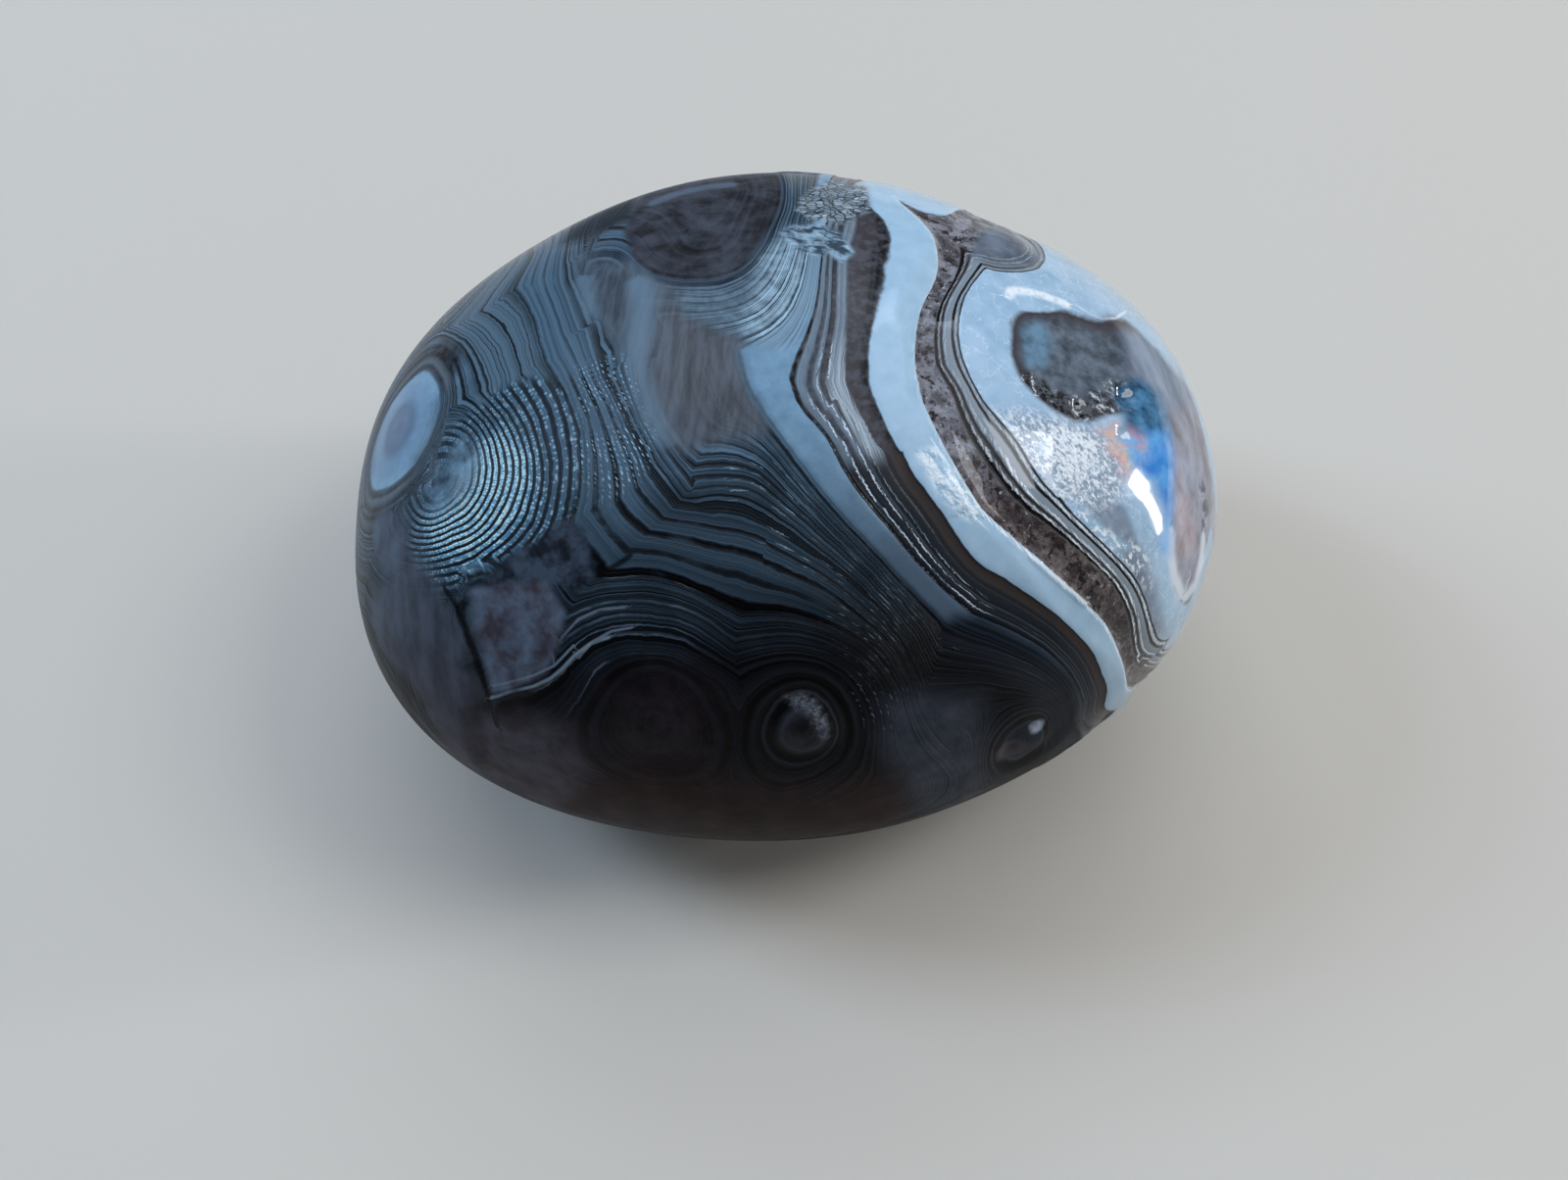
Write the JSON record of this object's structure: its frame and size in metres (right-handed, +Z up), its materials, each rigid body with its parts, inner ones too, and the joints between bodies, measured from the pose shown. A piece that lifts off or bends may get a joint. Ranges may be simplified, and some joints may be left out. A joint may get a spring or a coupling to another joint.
{
  "type": "eye agate pebble",
  "caption": "Water-worn eye agate pebble: an egg-shaped banded chalcedony stone with low raised eyes, a shallow quartz hollow and a worn flat to rest on.",
  "frame": {"origin": "middle of the stone's bounding box on the plane that it rests on", "axes": "+X along the long axis towards the end with the white bands, +Y towards the back, +Z up"},
  "size_m": [0.0444, 0.034, 0.0262],
  "materials": {
    "agate": "natural water-worn polish, satin on the dark ridged bands and glossy on the white bands"
  },
  "bodies": {
    "root": {"pebble": "agate"}
  },
  "joints": []
}
